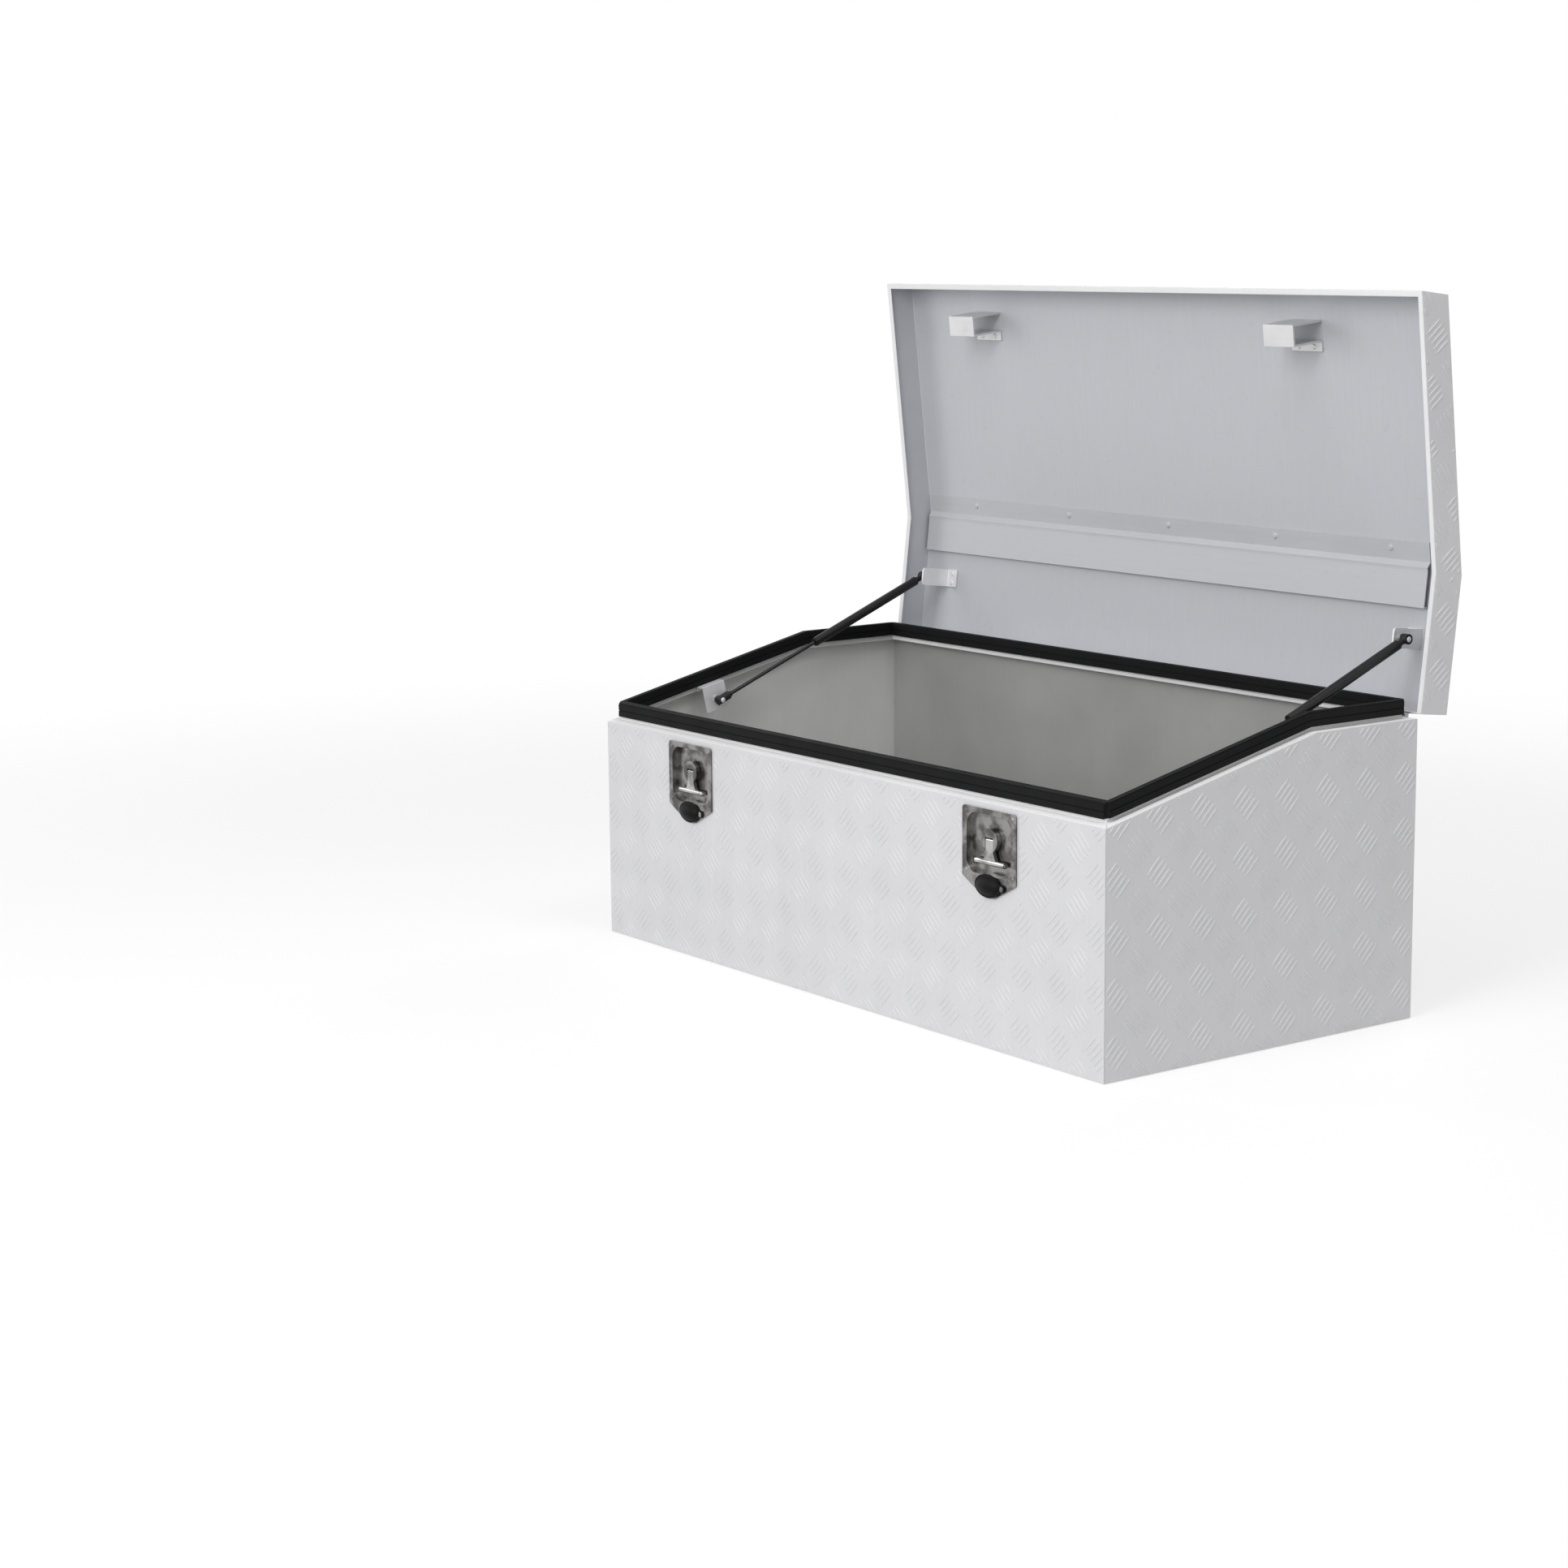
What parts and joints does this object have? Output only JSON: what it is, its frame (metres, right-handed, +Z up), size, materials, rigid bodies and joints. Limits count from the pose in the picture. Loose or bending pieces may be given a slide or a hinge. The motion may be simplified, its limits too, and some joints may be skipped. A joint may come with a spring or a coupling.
{
  "type": "truck tool box",
  "caption": "Wide metal tool box with a sloped, hinged lid held open by gas struts, a rubber rim seal and folding T-handle latches on its front.",
  "frame": {"origin": "centre of the body's flat underside", "axes": "+X along the front to the viewer's right, +Y from the front to the hinged rear, +Z up"},
  "size_m": [1.2, 0.6821, 1.0308],
  "materials": {
    "tread_plate": "bright five-bar tread plate, mill finish inside",
    "plain_aluminium": "satin",
    "seal_rubber": "matt, ribbed",
    "cap_rubber": "matt",
    "latch_steel": "polished stainless steel",
    "hinge_steel": "brushed stainless steel",
    "zinc_steel": "zinc plated",
    "rod_black": "black nitrided steel, polished",
    "strut_black": "satin black paint",
    "black_plastic": "moulded",
    "key_brass": "turned"
  },
  "bodies": {
    "root": {"front_panel": "tread_plate", "rear_panel": "tread_plate", "left_end_panel": "tread_plate", "right_end_panel": "tread_plate", "floor_panel": "tread_plate", "seal_front": "seal_rubber", "seal_rear": "seal_rubber", "seal_left": "seal_rubber", "seal_right": "seal_rubber", "hinge_leaf_body": "hinge_steel", "hinge_pin": "hinge_steel", "left_latch_gasket": "seal_rubber", "left_latch_plate": "latch_steel", "left_latch_bearing": "zinc_steel", "right_latch_gasket": "seal_rubber", "right_latch_plate": "latch_steel", "right_latch_bearing": "zinc_steel", "left_strut_bracket_body": "zinc_steel", "left_ball_stud_body": "zinc_steel", "right_strut_bracket_body": "zinc_steel", "right_ball_stud_body": "zinc_steel"},
    "lid": {"lid_pan": "tread_plate", "lid_brace": "plain_aluminium", "hinge_leaf_lid": "hinge_steel", "left_striker": "latch_steel", "right_striker": "latch_steel", "left_strut_bracket_lid": "zinc_steel", "left_ball_stud_lid": "zinc_steel", "right_strut_bracket_lid": "zinc_steel", "right_ball_stud_lid": "zinc_steel"},
    "left_strut_lower": {"left_strut_rod_socket": "black_plastic", "left_strut_rod": "rod_black"},
    "left_strut_upper": {"left_strut_tube": "strut_black", "left_strut_gland": "black_plastic", "left_strut_tube_socket": "black_plastic"},
    "right_strut_lower": {"right_strut_rod_socket": "black_plastic", "right_strut_rod": "rod_black"},
    "right_strut_upper": {"right_strut_tube": "strut_black", "right_strut_gland": "black_plastic", "right_strut_tube_socket": "black_plastic"},
    "left_lock": {"left_latch_spindle": "latch_steel", "left_latch_handle_pin": "latch_steel", "left_latch_hook": "zinc_steel", "left_latch_hook_nut": "zinc_steel"},
    "left_handle": {"left_latch_t_handle": "latch_steel"},
    "left_key": {"left_latch_key_barrel": "key_brass"},
    "left_cap": {"left_latch_key_cap": "cap_rubber"},
    "right_lock": {"right_latch_spindle": "latch_steel", "right_latch_handle_pin": "latch_steel", "right_latch_hook": "zinc_steel", "right_latch_hook_nut": "zinc_steel"},
    "right_handle": {"right_latch_t_handle": "latch_steel"},
    "right_key": {"right_latch_key_barrel": "key_brass"},
    "right_cap": {"right_latch_key_cap": "cap_rubber"}
  },
  "joints": [
    {"name": "lid_hinge", "type": "hinge", "parent": "root", "child": "lid", "pos_m": [0, 0.2968, 0.43525], "axis": [1, 0, 0], "range_deg": [0, 96.84]},
    {"name": "left_strut_pivot", "type": "hinge", "parent": "root", "child": "left_strut_lower", "pos_m": [-0.551, -0.1045, 0.36815], "axis": [-1, 0, 0], "range_deg": [0, 7.98]},
    {"name": "left_strut_slide", "type": "slide", "parent": "left_strut_lower", "child": "left_strut_upper", "axis": [0, -0.9259, -0.3779], "range_m": [0, 0.1513]},
    {"name": "right_strut_pivot", "type": "hinge", "parent": "root", "child": "right_strut_lower", "pos_m": [0.551, -0.1045, 0.36815], "axis": [-1, 0, 0], "range_deg": [0, 7.98]},
    {"name": "right_strut_slide", "type": "slide", "parent": "right_strut_lower", "child": "right_strut_upper", "axis": [0, -0.9259, -0.3779], "range_m": [0, 0.1513]},
    {"name": "left_latch_turn", "type": "hinge", "parent": "root", "child": "left_lock", "pos_m": [-0.363, -0.29, 0.294], "axis": [0, -1, 0], "range_deg": [0, 90]},
    {"name": "left_handle_fold", "type": "hinge", "parent": "left_lock", "child": "left_handle", "pos_m": [-0.363, -0.2911, 0.294], "axis": [-1, 0, 0], "range_deg": [0, 90]},
    {"name": "left_key_turn", "type": "hinge", "parent": "root", "child": "left_key", "pos_m": [-0.363, -0.29, 0.231], "axis": [0, 1, 0], "range_deg": [0, 90]},
    {"name": "left_cap_swing", "type": "hinge", "parent": "root", "child": "left_cap", "pos_m": [-0.3325, -0.2975, 0.231], "axis": [0, -1, 0], "range_deg": [0, 90]},
    {"name": "right_latch_turn", "type": "hinge", "parent": "root", "child": "right_lock", "pos_m": [0.363, -0.29, 0.294], "axis": [0, -1, 0], "range_deg": [0, 90]},
    {"name": "right_handle_fold", "type": "hinge", "parent": "right_lock", "child": "right_handle", "pos_m": [0.363, -0.2911, 0.294], "axis": [-1, 0, 0], "range_deg": [0, 90]},
    {"name": "right_key_turn", "type": "hinge", "parent": "root", "child": "right_key", "pos_m": [0.363, -0.29, 0.231], "axis": [0, 1, 0], "range_deg": [0, 90]},
    {"name": "right_cap_swing", "type": "hinge", "parent": "root", "child": "right_cap", "pos_m": [0.3935, -0.2975, 0.231], "axis": [0, -1, 0], "range_deg": [0, 90]}
  ],
  "couplings": [
    {"joint": "left_strut_pivot", "follows": "lid_hinge", "ratio": 0.082374},
    {"joint": "left_strut_slide", "follows": "lid_hinge", "m_per_rad": 0.089503},
    {"joint": "right_strut_pivot", "follows": "lid_hinge", "ratio": 0.082374},
    {"joint": "right_strut_slide", "follows": "lid_hinge", "m_per_rad": 0.089503}
  ]
}
